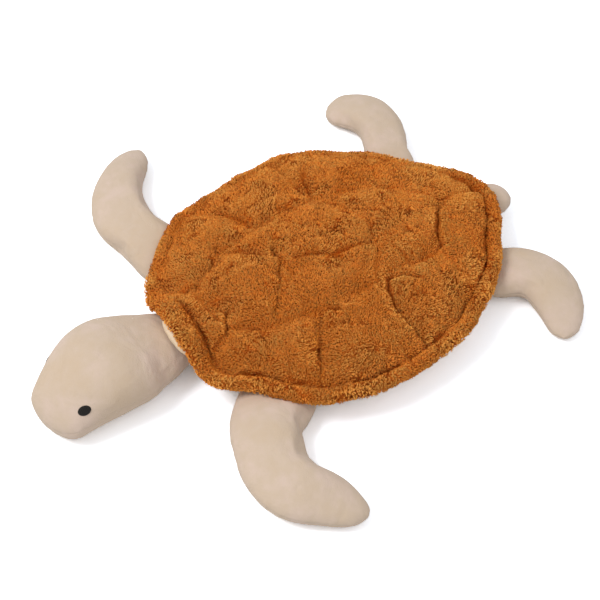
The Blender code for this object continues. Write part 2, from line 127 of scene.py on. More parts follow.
REAR_LEFT = (
    (64.0, 158.0, 23.0, 16.0, 13.0), (70.0, 168.0, 25.5, 21.0, 13.2), (79.0, 183.5, 26.1, 24.5, 13.6),
    (97.1, 193.8, 25.2, 25.5, 13.8), (115.8, 192.8, 23.6, 24.0, 13.0), (132.6, 187.6, 19.2, 19.0, 10.8),
    (145.4, 179.6, 12.6, 11.5, 7.6), (151.2, 174.2, 0.0, 0.0, 6.6),
)
REAR_RIGHT = (
    (-67.0, 152.5, 21.0, 16.0, 13.0), (-77.0, 161.5, 22.5, 21.0, 13.2), (-94.0, 168.0, 21.8, 23.5, 13.4),
    (-110.5, 175.5, 22.2, 25.0, 13.6), (-129.3, 180.7, 22.8, 25.5, 13.8), (-149.1, 179.3, 23.6, 23.5, 12.8),
    (-163.9, 170.5, 21.5, 18.5, 10.2), (-173.4, 161.8, 17.0, 13.0, 8.0), (-179.0, 157.0, 0.0, 0.0, 6.8),
)
TAIL = (
    (0.0, 196.0, 14.0, 13.0, 15.0), (0.0, 207.0, 17.0, 17.0, 15.0), (0.0, 216.0, 17.0, 17.0, 15.0),
    (0.0, 224.0, 13.8, 13.5, 15.0), (0.0, 230.5, 0.0, 0.0, 15.0),
)
HEAD = (
    (-4.0, -88.0, 24.0, 20.0, 20.0), (-5.5, -98.0, 28.5, 25.0, 21.0), (-6.2, -107.0, 32.5, 30.5, 21.0),
    (-6.6, -117.0, 36.0, 36.0, 21.6), (-7.0, -127.0, 39.0, 42.0, 23.3), (-6.2, -140.0, 43.2, 48.5, 26.0),
    (-4.4, -158.0, 43.8, 53.5, 28.0), (-0.2, -175.0, 40.4, 53.0, 27.5), (4.4, -190.5, 35.0, 47.0, 25.0),
    (8.8, -204.0, 30.0, 38.5, 21.4), (12.0, -213.2, 25.4, 28.0, 17.8), (14.0, -220.0, 0.0, 0.0, 16.0),
)


def linear(hex_code):
    """Linear RGB of an sRGB hex colour."""
    channels = [int(hex_code[i:i + 2], 16) / 255 for i in (0, 2, 4)]
    return [c / 12.92 if c <= 0.04045 else ((c + 0.055) / 1.055) ** 2.4 for c in channels]


def colour_property(name, hex_code, description):
    return FloatVectorProperty(name=name, description=description, subtype="COLOR", size=3, min=0.0,
                               max=1.0, default=linear(hex_code))


def length_property(name, default, description):
    return FloatProperty(name=name, description=description, default=default, min=0.0, unit="LENGTH",
                         subtype="DISTANCE", precision=4)


class TurtleShellSettings(bpy.types.PropertyGroup):
    """Sizes of the quilted shell and its pile."""
    crown: length_property("Crown height", 0.0508, "Height of the seams at the middle of the shell")
    stitch: length_property("Stitch height", 0.0310, "Height of the skin along the rim's stitch line")
    puff: length_property("Scute puff", 0.0046, "How far each stuffed scute swells above its seams")
    shoulder: length_property("Scute shoulder", 0.0210, "Width over which a scute swells from its seam")
    collar: length_property("Collar rise", 0.0165, "How far the rim stands up over the neck")
    cloth: length_property("Cloth thickness", 0.0024, "Thickness of the backed plush")
    curl: length_property("Curl spacing", 0.0062, "Distance between the curls of the pile")
    tufts: IntProperty(name="Tufts", description="Locks of pile on the shell", default=60000, min=100)


class TurtleSkinSettings(bpy.types.PropertyGroup):
    """Sizes of the stuffed skins."""
    voxel: length_property("Remesh size", 0.0040, "Face size of a skin while it is stuffed")
    give: length_property("Cloth give", 0.0045, "The most that stuffing may move a point of a skin")
    cloth: length_property("Skin thickness", 0.0024, "Depth of the filling below a skin's face")
    floor: length_property("Floor clearance", 0.0005, "Lowest point of a limb above the floor")
    pressure: FloatProperty(name="Stuffing pressure", description="Pressure of the stuffing", default=4.0,
                            min=0.0)


class TurtleColourSettings(bpy.types.PropertyGroup):
    """Colours of the fabrics."""
    plush: colour_property("Plush", "FA9833", "Body of the shell's curly pile")
    # Painted shade: the roots' dark colour stands in for the shade between the locks, and darkens the backing
    # too
    plush_root_shade: colour_property("Plush roots", "BE540F", "Roots of the pile and the backing")
    # Painted highlight: the tips' light colour stands in for light on the locks
    plush_tip_highlight: colour_property("Plush tips", "FFC468", "Sunlit tips of the pile")
    cream: colour_property("Cream", "DAC4AE", "Short cream pile of the head and limbs")
    cream_rosy: colour_property("Cream, rosy", "DEC5B2", "Cream plush brushed the other way")
    cream_warm: colour_property("Warm cream", "D8C1A8", "Warmer cream where the pile lies the other way")
    lining: colour_property("Lining", "F7E0C0", "Cotton lining below the collar")
    thread: colour_property("Thread", "17130F", "Satin stitch of the eyes")
    fill: colour_property("Stuffing", "F2EFE8", "Polyester fibre")


def add_node(tree, kind, links=None, **settings):
    """A node of a tree with its settings, and its inputs linked or set."""
    node = tree.nodes.new(kind)
    for name, value in settings.items():
        setattr(node, name, value)
    for name, value in (links or {}).items():
        socket = node.inputs[name]
        if isinstance(value, bpy.types.NodeSocket):
            tree.links.new(value, socket)
        else:
            socket.default_value = value
    return node


def start_material(name, roughness):
    """A material, its tree and its shader, rough and without metal."""
    material = bpy.data.materials.new(name)
    material.use_nodes = True
    tree = material.node_tree
    shader = tree.nodes["Principled BSDF"]
    shader.inputs["Roughness"].default_value = roughness
    shader.inputs["Metallic"].default_value = 0.0
    return material, tree, shader


def colour_ramp(tree, factor, stops):
    ramp = add_node(tree, "ShaderNodeValToRGB", {"Fac": factor})
    elements = ramp.color_ramp.elements
    while len(elements) < len(stops):
        elements.new(0.5)
    for element, (place, colour) in zip(elements, stops):
        element.position = place
        element.color = (*colour, 1.0)
    return ramp.outputs["Color"]


def mixed(a, b, share):
    return [x + (y - x) * share for x, y in zip(a, b)]


def teddy_pile(colours):
    """Curly acrylic teddy pile, brushed and steamed: soft matt locks, with painted shade at the root and a
    painted highlight at the tip.
    Its map holds each lock's tone, with the painted shade of its seams, across and the way from root to tip
    upwards."""
    material, tree, shader = start_material("rust_teddy_pile", 0.78)
    place = add_node(tree, "ShaderNodeUVMap", uv_map="OFBake").outputs["UV"]
    parts = add_node(tree, "ShaderNodeSeparateXYZ", {"Vector": place})
    tone, along = parts.outputs["X"], parts.outputs["Y"]
    # Painted shade and highlight: deep is the shade at the roots, tip the light on the locks' ends
    deep, body, tip = colours.plush_root_shade, colours.plush, colours.plush_tip_highlight
    # Both ramps run from painted root shade to a painted tip highlight; the tone picks between them
    dark = colour_ramp(tree, along, (
        (0.0, mixed(deep, body, 0.35)), (0.40, mixed(deep, body, 0.75)), (1.0, mixed(body, tip, 0.10))))
    light = colour_ramp(tree, along, (
        (0.0, mixed(deep, body, 0.70)), (0.40, mixed(body, tip, 0.45)), (1.0, mixed(body, tip, 1.10))))
    blend = add_node(tree, "ShaderNodeMix", {"Factor": tone, "A": dark, "B": light}, data_type="RGBA")
    tree.links.new(blend.outputs["Result"], shader.inputs["Base Color"])
    shader.inputs["Specular IOR Level"].default_value = 0.12
    shader.inputs["Sheen Weight"].default_value = 0.06
    shader.inputs["Sheen Roughness"].default_value = 0.45
    shader.inputs["Sheen Tint"].default_value = (*tip, 1.0)
    return material


def teddy_backing(colours):
    """Knitted backing of the plush, seen only between locks: rust with the loops' grain, darkened with the
    roots' painted shade.
    """
    material, tree, shader = start_material("rust_teddy_backing", 1.0)
    place = add_node(tree, "ShaderNodeTexCoord").outputs["Object"]
    # Matted underpile about 1.6 mm across
    grain = add_node(tree, "ShaderNodeTexNoise", {"Vector": place, "Scale": 600.0, "Detail": 3.0})
    # Painted shade: the backing is mostly the roots' shade colour
    shade = colour_ramp(tree, grain.outputs["Fac"], (
        (0.3, mixed(colours.plush_root_shade, colours.plush, 0.25)),
        (0.7, mixed(colours.plush_root_shade, colours.plush, 0.70))))
    tree.links.new(shade, shader.inputs["Base Color"])
    bump = add_node(tree, "ShaderNodeBump", {"Height": grain.outputs["Fac"], "Strength": 0.8,
                                             "Distance": 0.0012})
    tree.links.new(bump.outputs["Normal"], shader.inputs["Normal"])
    shader.inputs["Specular IOR Level"].default_value = 0.1
    return material


def cream_plush(colours):
    """Cream cotton velour, a sheared pile of about 2 mm: matt, with a soft sheen at its edges and faint
    cloudy patches where the pile lies the other way. The sewn side seam is pulled in."""
    material, tree, shader = start_material("cream_cotton_velour", 0.92)
    place = add_node(tree, "ShaderNodeTexCoord").outputs["Object"]
    # Brushed patches about 35 mm across, rosy or yellowish as the pile lies, and a faint mottling of 6 mm
    patches = add_node(tree, "ShaderNodeTexNoise", {"Vector": place, "Scale": 28.0, "Detail": 2.0})
    mottle = add_node(tree, "ShaderNodeTexNoise", {"Vector": place, "Scale": 160.0, "Detail": 3.0})
    faint = add_node(tree, "ShaderNodeMath", {0: mottle.outputs["Fac"], 1: 0.28}, operation="MULTIPLY")
    both = add_node(tree, "ShaderNodeMath", {0: patches.outputs["Fac"], 1: 0.72, 2: faint.outputs["Value"]},
                    operation="MULTIPLY_ADD")
    shade = colour_ramp(tree, both.outputs["Value"], (
        (0.36, list(colours.cream_warm)), (0.5, list(colours.cream)),
        (0.64, mixed(colours.cream_rosy, (1.0, 1.0, 1.0), 0.06))))
    tree.links.new(shade, shader.inputs["Base Color"])
    # Pile tips, real ones 0.3 mm apart, drawn 1 mm apart so that they show
    nap = add_node(tree, "ShaderNodeTexNoise", {"Vector": place, "Scale": 950.0, "Detail": 2.0})
    seam = add_node(tree, "ShaderNodeAttribute", attribute_name="above_seam").outputs["Fac"]
    far = add_node(tree, "ShaderNodeMath", {0: seam}, operation="ABSOLUTE")
    groove = add_node(tree, "ShaderNodeMapRange", {"Value": far.outputs["Value"], "From Max": 0.0016,
                                                   "To Min": -1.2, "To Max": 0.0},
                      interpolation_type="SMOOTHSTEP")
    relief = add_node(tree, "ShaderNodeMath", {0: nap.outputs["Fac"], 1: groove.outputs["Result"]},
                      operation="ADD")
    # Slack and lumps of the stuffed skin, about 20 mm apart
    slack = add_node(tree, "ShaderNodeTexNoise", {"Vector": place, "Scale": 45.0, "Detail": 2.5,
                                                  "Distortion": 0.9})
    lumps = add_node(tree, "ShaderNodeBump", {"Height": slack.outputs["Fac"], "Strength": 0.30,
                                              "Distance": 0.006})
    bump = add_node(tree, "ShaderNodeBump", {"Height": relief.outputs["Value"], "Strength": 0.45,
                                             "Distance": 0.0007, "Normal": lumps.outputs["Normal"]})
    tree.links.new(bump.outputs["Normal"], shader.inputs["Normal"])
    shader.inputs["Specular IOR Level"].default_value = 0.15
    shader.inputs["Sheen Weight"].default_value = 0.20
    shader.inputs["Sheen Roughness"].default_value = 0.5
    return material


def cotton_lining(colours):
    """Plain woven cotton lining with a brushed face."""
    material, tree, shader = start_material("cream_cotton_lining", 0.9)
    place = add_node(tree, "ShaderNodeTexCoord").outputs["Object"]
    # Yarn, real ones 0.4 mm apart, drawn 0.8 mm apart so that they show
    yarn = add_node(tree, "ShaderNodeTexNoise", {"Vector": place, "Scale": 1200.0, "Detail": 2.0})
    shade = colour_ramp(tree, yarn.outputs["Fac"], (
        (0.3, mixed(colours.lining, colours.cream_warm, 0.6)), (0.7, list(colours.lining))))
    tree.links.new(shade, shader.inputs["Base Color"])
    bump = add_node(tree, "ShaderNodeBump", {"Height": yarn.outputs["Fac"], "Strength": 0.6,
                                             "Distance": 0.0008})
    tree.links.new(bump.outputs["Normal"], shader.inputs["Normal"])
    shader.inputs["Specular IOR Level"].default_value = 0.2
    return material


def satin_thread(colours):
    """Black rayon machine thread in satin stitch: close parallel threads that catch a soft light."""
    material, tree, shader = start_material("black_satin_stitch", 0.55)
    place = add_node(tree, "ShaderNodeTexCoord").outputs["Object"]
    # Threads, real ones 0.3 mm apart, drawn 0.6 mm apart so that they show
    threads = add_node(tree, "ShaderNodeTexWave", {"Vector": place, "Scale": 260.0, "Distortion": 0.6},
                       wave_type="BANDS", bands_direction="Y")
    shade = colour_ramp(tree, threads.outputs["Fac"], (
        (0.0, mixed(colours.thread, (0.0, 0.0, 0.0), 0.5)), (1.0, list(colours.thread))))
    tree.links.new(shade, shader.inputs["Base Color"])
    bump = add_node(tree, "ShaderNodeBump", {"Height": threads.outputs["Fac"], "Strength": 0.6,
                                             "Distance": 0.0003})
    tree.links.new(bump.outputs["Normal"], shader.inputs["Normal"])
    shader.inputs["Specular IOR Level"].default_value = 0.2
    return material


def fibre_fill(colours):
    """Polyester fibre stuffing: white crimped fibres, with painted shade in the hollows between them."""
    material, tree, shader = start_material("polyester_fibre_fill", 1.0)
    place = add_node(tree, "ShaderNodeTexCoord").outputs["Object"]
    # Tangles of fibre about 3 mm across
    tangle = add_node(tree, "ShaderNodeTexNoise", {"Vector": place, "Scale": 330.0, "Detail": 5.0,
                                                   "Distortion": 1.5})
    # Painted shade: darker where the bump is low, in the hollows
    shade = colour_ramp(tree, tangle.outputs["Fac"], (
        (0.25, mixed(colours.fill, (0.0, 0.0, 0.0), 0.25)), (0.6, list(colours.fill))))
    tree.links.new(shade, shader.inputs["Base Color"])
    bump = add_node(tree, "ShaderNodeBump", {"Height": tangle.outputs["Fac"], "Strength": 0.7,
                                             "Distance": 0.002})
    tree.links.new(bump.outputs["Normal"], shader.inputs["Normal"])
    return material


def new_piece(name, bm, *materials):
    mesh = bpy.data.meshes.new(name)
    bm.to_mesh(mesh)
    bm.free()
    mesh.shade_smooth()
    for material in materials:
        mesh.materials.append(material)
    obj = bpy.data.objects.new(name, mesh)
    bpy.context.scene.collection.objects.link(obj)
    return obj


def apply_modifiers(obj):
    """The piece's modifiers become its mesh."""
    graph = bpy.context.evaluated_depsgraph_get()
    graph.update()
    made = bpy.data.meshes.new_from_object(obj.evaluated_get(graph), preserve_all_data_layers=True,
                                           depsgraph=graph)
    obj.modifiers.clear()
    old = obj.data
    obj.data = made
    bpy.data.meshes.remove(old)
    made.name = obj.name


def through(points, count, round_tip=False):
    """Points spread evenly along a smooth curve through the rows of a table. The width and the
    thickness are carried as squares, so that they round off at a tip."""
    rows = np.array(points, float)
    if round_tip:
        rows[:, 2:4] **= 2
    plan = rows[:, :2]
    reach = np.concatenate([[0], np.cumsum(np.linalg.norm(np.diff(plan, axis=0), axis=1))])
    slopes = np.gradient(rows, reach, axis=0)
    spread = np.linspace(0, 1, count)
    if round_tip:
        spread = np.sin(spread * math.pi / 2) ** 1.15
    at = spread * reach[-1]
    k = np.clip(np.searchsorted(reach, at, side="right") - 1, 0, len(reach) - 2)
    span = (reach[k + 1] - reach[k])[:, None]
    t = ((at - reach[k])[:, None]) / span
    made = ((2 * t**3 - 3 * t**2 + 1) * rows[k] + (t**3 - 2 * t**2 + t) * span * slopes[k]
            + (3 * t**2 - 2 * t**3) * rows[k + 1] + (t**3 - t**2) * span * slopes[k + 1])
    if round_tip:
        made[:, 2:4] = np.sqrt(np.maximum(made[:, 2:4], 0.04))
    return made


def ring_loft(rings):
    """A bmesh of rings, each extruded from the one before."""
    bm = bmesh.new()
    place = bm.verts.layers.int.new("place")
    bmesh.ops.create_circle(bm, segments=len(rings[0]), radius=1.0)
    for i, vert in enumerate(bm.verts):
        vert[place] = i
        vert.co = rings[0][i]
    edges = list(bm.edges)
    for ring in rings[1:]:
        grown = bmesh.ops.extrude_edge_only(bm, edges=edges)["geom"]
        verts = {item for item in grown if isinstance(item, bmesh.types.BMVert)}
        for vert in verts:
            vert.co = ring[vert[place]]
        edges = [item for item in grown if isinstance(item, bmesh.types.BMEdge)
                 and item.verts[0] in verts and item.verts[1] in verts]
    return bm


def close_ends(bm):
    """Cap every open end with a fan round its middle, and point the faces outwards."""
    caps = bmesh.ops.holes_fill(bm, edges=[e for e in bm.edges if e.is_boundary], sides=0)["faces"]
    bmesh.ops.poke(bm, faces=caps)
    bmesh.ops.recalc_face_normals(bm, faces=bm.faces)


def stuffed_form(table, segments=28, rings=34):
    """A limb's sewn form: two panels that meet at side seams, from its root to its round tip."""
    rows = through(table, rings, round_tip=True)
    loops = []
    for i, (x, y, half, thick, height) in enumerate(rows):
        path = rows[min(i + 1, rings - 1)][:2] - rows[max(i - 1, 0)][:2]
        path /= np.linalg.norm(path)
        across = Vector((-path[1], path[0], 0.0))
        loop = []
        for k in range(segments):
            angle = 2 * math.pi * k / segments
            side = math.copysign(abs(math.cos(angle)) ** 0.92, math.cos(angle))
            lift = math.copysign(abs(math.sin(angle)) ** 0.90, math.sin(angle))
            loop.append((Vector((x, y, height)) + across * (half * side)
                         + Vector((0, 0, thick / 2 * lift))) * MM)
        loops.append(loop)
    bm = ring_loft(loops)
    close_ends(bm)
    return bm


def stuff(obj, skins, pinned=None):
    """Fill a skin: remesh it finely, blow it up as cloth, and hold each point within the cloth's give."""
    remesh = obj.modifiers.new("Even cloth", "REMESH")
    remesh.mode = "VOXEL"
    remesh.voxel_size = skins.voxel
    apply_modifiers(obj)
    before = np.array([v.co for v in obj.data.vertices])
    cloth = obj.modifiers.new("Stuffing", "CLOTH")
    fabric = cloth.settings
    fabric.quality = 6
    fabric.mass = 0.15
    fabric.tension_stiffness = fabric.compression_stiffness = 18.0
    fabric.shear_stiffness = 6.0
    fabric.bending_stiffness = 0.4
    fabric.use_pressure = True
    fabric.uniform_pressure_force = skins.pressure
    fabric.effector_weights.gravity = 0.0
    cloth.point_cache.frame_start = 1
    cloth.point_cache.frame_end = 20
    if pinned:
        group = obj.vertex_groups.new(name="sewn")
        group.add([v.index for v in obj.data.vertices if pinned(v.co)], 1.0, "REPLACE")
        fabric.vertex_group_mass = "sewn"
    for number in range(1, 21):
        bpy.context.scene.frame_set(number)
    graph = bpy.context.evaluated_depsgraph_get()
    blown = obj.evaluated_get(graph).to_mesh()
    after = np.array([v.co for v in blown.vertices])
    obj.modifiers.clear()
    bpy.context.scene.frame_set(1)
    move = after - before
    far = np.linalg.norm(move, axis=1, keepdims=True)
    move *= np.minimum(1.0, skins.give / np.maximum(far, 1e-9))
    obj.data.vertices.foreach_set("co", (before + move).ravel())
    obj.data.update()


def fill_skin(skin_piece, name, node, depth, material, low=None):
    """The filling just inside a skin, shaped as the skin is."""
    filling = skin_piece.copy()
    filling.data = skin_piece.data.copy()
    filling.name = filling.data.name = name
    bpy.context.scene.collection.objects.link(filling)
    filling.data.materials.clear()
    filling.data.materials.append(material)
    for vert, normal in zip(filling.data.vertices, [v.normal.copy() for v in skin_piece.data.vertices]):
        vert.co -= normal * depth
    filling.data.update()
    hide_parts(node)
    return filling


def settle(obj, skins, low):
    """Flatten the skin softly where it would sink below a height."""
    for vert in obj.data.vertices:
        under = vert.co.z - low
        soft = 0.0025
        if under < soft:
            vert.co.z = low + soft * math.exp((under - soft) / soft) if under < soft else vert.co.z
    obj.data.update()


def mark_seam(obj, heights):
    """Give each point its height above the piece's side seam, which its material pulls in."""
    attribute = obj.data.attributes.new("above_seam", "FLOAT", "POINT")
    attribute.data.foreach_set("value", [v.co.z - height for v, height in zip(obj.data.vertices, heights)])


def limb_seam(obj, table):
    """Height of a limb's side seam beside each of its points."""
    rows = through(table, 240, round_tip=True) * MM
    return [rows[np.argmin((rows[:, 0] - v.co.x) ** 2 + (rows[:, 1] - v.co.y) ** 2), 4]
            for v in obj.data.vertices]


def refine(obj, levels):
    subdivision = obj.modifiers.new("Smooth cloth", "SUBSURF")
    subdivision.levels = levels
    subdivision.render_levels = levels
    apply_modifiers(obj)


def body_height(share, skin):
    """Height of the dome's seams at a share of the way from its middle to its outline."""
    stitch_share = 0.9127
    power = 2.4
    fall = 1 - stitch_share ** power
    edge = (skin.stitch - fall * skin.crown) / (1 - fall)
    return edge + (skin.crown - edge) * (1 - share ** power)


def collar_lift(x, y, share, rise):
    if y > 0.051:
        return 0.0
    across = min(1.0, abs(x) / 0.050)
    inwards = min(1.0, max(0.0, (1 - share) / 0.30))
    return rise * (1 - across ** 3) ** 2 * (1 - inwards) ** 1.5


def outline_points(count):
    """The shell's outline spread evenly round, with its outward directions, in metres."""
    whole = [Vector(p) for p in OUTLINE_LEFT + OUTLINE_RIGHT[::-1]]
    size = len(whole)
    fine = []
    for i in range(size):
        a, b, c, d = (whole[(i + k) % size] for k in (-1, 0, 1, 2))
        for step in range(24):
            t = step / 24
            fine.append(0.5 * ((2 * b) + (c - a) * t + (2 * a - 5 * b + 4 * c - d) * t * t
                               + (3 * b - a - 3 * c + d) * t ** 3))
    fine = np.array(fine + [fine[0]])
    reach = np.concatenate([[0], np.cumsum(np.linalg.norm(np.diff(fine, axis=0), axis=1))])
    at = np.linspace(0, reach[-1], count, endpoint=False)
    ring = np.stack([np.interp(at, reach, fine[:, k]) for k in (0, 1)], axis=1)
    for _ in range(6):
        ring = 0.5 * ring + 0.25 * (np.roll(ring, 1, 0) + np.roll(ring, -1, 0))
    along = np.roll(ring, -1, 0) - np.roll(ring, 1, 0)
    along /= np.linalg.norm(along, axis=1, keepdims=True)
    out = np.stack([along[:, 1], -along[:, 0]], axis=1)
    return ring * MM, out


def seam_lines():
    """The quilt's seams as (start, end, depth share) in metres."""
    lines = []
    corner = {name: np.array(place) * MM for name, place in SCUTE_CORNERS.items()}
    for side in (1, -1):
        flip = np.array((side, 1.0))
        for a, b in SCUTE_SEAMS:
            lines.append((corner[a] * flip, corner[b] * flip, 1.0))
    for name in CROSS_SEAMS:
        lines.append((corner[name], corner[name] * np.array((-1.0, 1.0)), 1.0))
    return lines


def rolled(points):
    """How far the rim is rolled up at plan points: fully on the left, hardly on the right."""
    turn = np.array([noise.noise(Vector((x, y, 12.0)) / 0.045) for x, y in points])
    return np.clip(np.interp(points[:, 0], (-0.040, -0.004), (0.05, 1.0)) + 0.35 * turn, 0.0, 1.0)


def line_distance(points, a, b):
    """Distance of plan points from a line's stretch, in metres."""
    along = b - a
    t = np.clip(((points - a) @ along) / (along @ along), 0, 1)
    return np.linalg.norm(points - (a + t[:, None] * along), axis=1)


def wander(points, size, reach, seed):
    """Smooth random moves of plan points, so that seams wander as sewn ones do."""
    moves = [noise.noise_vector(Vector((x / size, y / size, seed))) for x, y in points]
    return points + np.array([(m.x, m.y) for m in moves]) * reach


def shell_heights(points, shares, skin):
    """Heights of the quilted skin inside the rim's stitch line, and how deep each point lies in a seam, which
    also darkens the pile there as painted shade.
    """
    warped = wander(points, 0.045, 0.0060, 3.0)
    near = np.full(len(points), 1.0)
    for a, b, _ in seam_lines():
        near = np.minimum(near, line_distance(warped, a, b))
    inside, roll = np.maximum(0.0, (0.9127 - shares)) * 0.125, rolled(points)
    sway = np.array([noise.noise(Vector((x, y, 8.0)) / 0.012) * 0.0020 for x, y in points])
    ends = inside + 0.008 * (1 - roll)
    near = np.minimum(near, ends)
    swell = np.clip(near / skin.shoulder, 0, 1)
    puff = skin.puff * (0.45 * np.sqrt(1 - (1 - swell) ** 2) + 0.55 * swell ** 2 * (3 - 2 * swell))
    tight = np.array([0.62 + 0.75 * noise.noise(Vector((x, y, 9.0)) / 0.040) for x, y in points])
    # The depth darkens the pile as painted shade in the seams, along the stitch line and in the creases below
    depth = np.exp(-(near / 0.0028) ** 2) * np.clip(tight, 0.0, 1.0) * 0.22
    pulls = np.array([noise.noise(Vector((x, y, 4.0)) / 0.013) for x, y in points])
    stitched = np.exp(-((inside + sway - 0.0008) / 0.0022) ** 2) * roll * np.clip(0.5 + 2.0 * pulls, 0.05, 1.2)
    puff = puff - 0.0030 * stitched
    depth = np.maximum(depth, stitched)
    creased = wander(points, 0.011, 0.0022, 6.0)
    for path, deep, wide in COVER_CREASES:
        away = np.full(len(points), 1.0)
        for a, b in zip(path, path[1:]):
            away = np.minimum(away, line_distance(creased, np.array(a) * MM, np.array(b) * MM))
        puff = puff - deep * MM * np.exp(-(away / (wide * MM)) ** 2)
        depth = np.maximum(depth, np.exp(-(away / (0.6 * wide * MM)) ** 2) * min(1.0, deep / 3.2))
    base = np.array([body_height(s, skin) + collar_lift(x, y, s, skin.collar)
                     for (x, y), s in zip(points, shares)])
    lumps = np.array([noise.noise(Vector((x, y, 7.0)) / 0.028) * 0.0019
                      + noise.noise(Vector((x, y, 2.0)) / 0.011) * 0.0009 for x, y in points])
    return base + puff + lumps - 0.0010 * depth, depth


def shell_form(skin, around=400, inner_rings=64):
    """The quilted skin from its crown over the rolled rim to the hem, with its seam depths, which also darken
    the pile as painted shade.
    """
    outline, out = outline_points(around)
    centre = np.array((0.0, SHELL_MIDDLE))
    neck = np.clip(1 - np.abs(outline[:, 0]) / 0.052, 0, 1) * (outline[:, 1] < 0)
    inset = 0.0105 + 0.0085 * np.sqrt(neck)
    stitch = outline - out * inset[:, None]
    rings, depths = [], []
    for k in np.linspace(0.012, 1.0, inner_rings):
        plan = centre + (stitch - centre) * k
        shares = np.full(around, k * 0.9127)
        height, depth = shell_heights(plan, shares, skin)
        rings.append([Vector((*p, h)) for p, h in zip(plan, height)])
        depths.append(depth)
    rise = np.array([collar_lift(x, y, 1.0, skin.collar) for x, y in outline])
    widen = inset / 0.0115
    roll = rolled(outline)
    for i, (outward, high, flat) in enumerate(RIM_SECTION):
        lean = outward * MM * np.where(outward < -2.3, widen, 1.0)
        plan = outline + out * lean[:, None]
        plan[:, 1] -= 0.0010 * rise / skin.collar
        rough = np.array([noise.noise(Vector((x, y, 5.0)) / 0.020) * 0.0017 for x, y in plan])
        height = (high * roll + flat * (1 - roll)) * MM + rise + rough
        rings.append([Vector((*spot, z)) for spot, z in zip(plan, height)])
        # Painted shade along the rolled rim's stitch line, on its first ring
        depths.append(roll * (0.5 if i == 0 else 0.0))
    return rings, np.array(depths)


class TURTLE_OT_shell(bpy.types.Operator):
    """Sew the quilted shell over its wadding, with the rolled rim and the raised collar"""
    bl_idname = "turtle.shell"
    bl_label = "Quilted shell"

    def execute(self, context):
        skin = context.scene.turtle_shell
        colours = context.scene.turtle_colours
        rings, depths = shell_form(skin)
        bm = ring_loft(rings)
        inner = [e for e in bm.edges if e.is_boundary and e.verts[0].co.z > skin.crown - 0.004]
        caps = bmesh.ops.holes_fill(bm, edges=inner, sides=0)["faces"]
        bmesh.ops.poke(bm, faces=caps)
        bmesh.ops.recalc_face_normals(bm, faces=bm.faces)
        top = max(bm.faces, key=lambda face: face.calc_center_median().z)
        if top.normal.z < 0:
            bmesh.ops.reverse_faces(bm, faces=bm.faces)
        obj = new_piece("quilted_shell", bm, teddy_backing(colours), cotton_lining(colours))
        # The seam depth shortens the locks and paints shade into the seams and creases
        values = obj.data.attributes.new("seam", "FLOAT", "POINT")
        flat = np.zeros(len(obj.data.vertices), np.float32)
        flat[:depths.size] = depths.ravel()[:len(flat)]
        values.data.foreach_set("value", flat)
        rows = obj.data.attributes.new("pile", "FLOAT", "POINT")
        grown = np.ones(len(obj.data.vertices), np.float32)
        around = len(rings[0])
        grown[(len(rings) - 2) * around:len(rings) * around] = 0.0
        rows.data.foreach_set("value", grown)
        source = obj.copy()
        source.data = obj.data.copy()
        source.name = source.data.name = "pile_source"
        bpy.context.scene.collection.objects.link(source)
        wadding = fill_skin(obj, "shell_quilting", "shell_wadding", skin.cloth + 0.0002, fibre_fill(colours))
        trimmed = bmesh.new()
        trimmed.from_mesh(wadding.data)
        trimmed.verts.ensure_lookup_table()
        rim = trimmed.verts[(len(rings) - len(RIM_SECTION)) * len(rings[0]):len(rings) * len(rings[0])]
        bmesh.ops.delete(trimmed, geom=rim, context="VERTS")
        trimmed.to_mesh(wadding.data)
        trimmed.free()
        batt = wadding.modifiers.new("Batt", "SOLIDIFY")
        batt.thickness = 0.0030
        batt.offset = -1.0
        apply_modifiers(wadding)
        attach(wadding, "body")
        cloth = obj.modifiers.new("Cloth", "SOLIDIFY")
        cloth.thickness = skin.cloth
        cloth.offset = -1.0
        cloth.material_offset = 1
        cloth.material_offset_rim = 0
        apply_modifiers(obj)
        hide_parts("shell_plush")
        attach(obj, "body")
        return {"FINISHED"}


def lock_form():
    """One curled lock of pile, drawn out to a point at both ends."""
    middle = ((-0.35, -1.0, 0.0), (0.0, 1.0, 0.64), (1.25, 2.1, 0.80), (3.1, 2.3, 0.68), (5.3, 1.35, 0.0))
    along = (0.0, 0.3, 0.55, 0.8, 1.0)
    bm = bmesh.new()
    steps = bm.verts.layers.float.new("along")
    sides = bm.verts.layers.float.new("side")
    start = bmesh.ops.create_vert(bm, co=(middle[0][0] * MM, 0.0, middle[0][1] * MM))["vert"][0]
    tip = bmesh.ops.create_vert(bm, co=(middle[-1][0] * MM, 0.0, middle[-1][1] * MM))["vert"][0]
    tip[steps] = 1.0
    loops = []
    for i in (1, 2, 3):
        x, z, radius = middle[i]
        slope = Vector((middle[i + 1][0] - middle[i - 1][0], 0.0, middle[i + 1][1] - middle[i - 1][1]))
        turn = slope.to_track_quat("Z", "Y").to_matrix().to_4x4()
        spot = Matrix.Translation(Vector((x, 0.0, z)) * MM)
        loop = bmesh.ops.create_circle(bm, segments=3, radius=radius * MM, matrix=spot @ turn)["verts"]
        for k, vert in enumerate(loop):
            vert[steps] = along[i]
            vert[sides] = (0.0, 0.5, 1.0)[k]
        loops.append(loop)
    for near, far in zip(loops, loops[1:]):
        edges = [e for loop in (near, far) for v in loop for e in v.link_edges]
        bmesh.ops.bridge_loops(bm, edges=list(dict.fromkeys(edges)))
    for end, loop in ((start, loops[0]), (tip, loops[-1])):
        for k in range(3):
            bm.faces.new((end, loop[k], loop[(k + 1) % 3]))
    bmesh.ops.recalc_face_normals(bm, faces=bm.faces)
    return bm


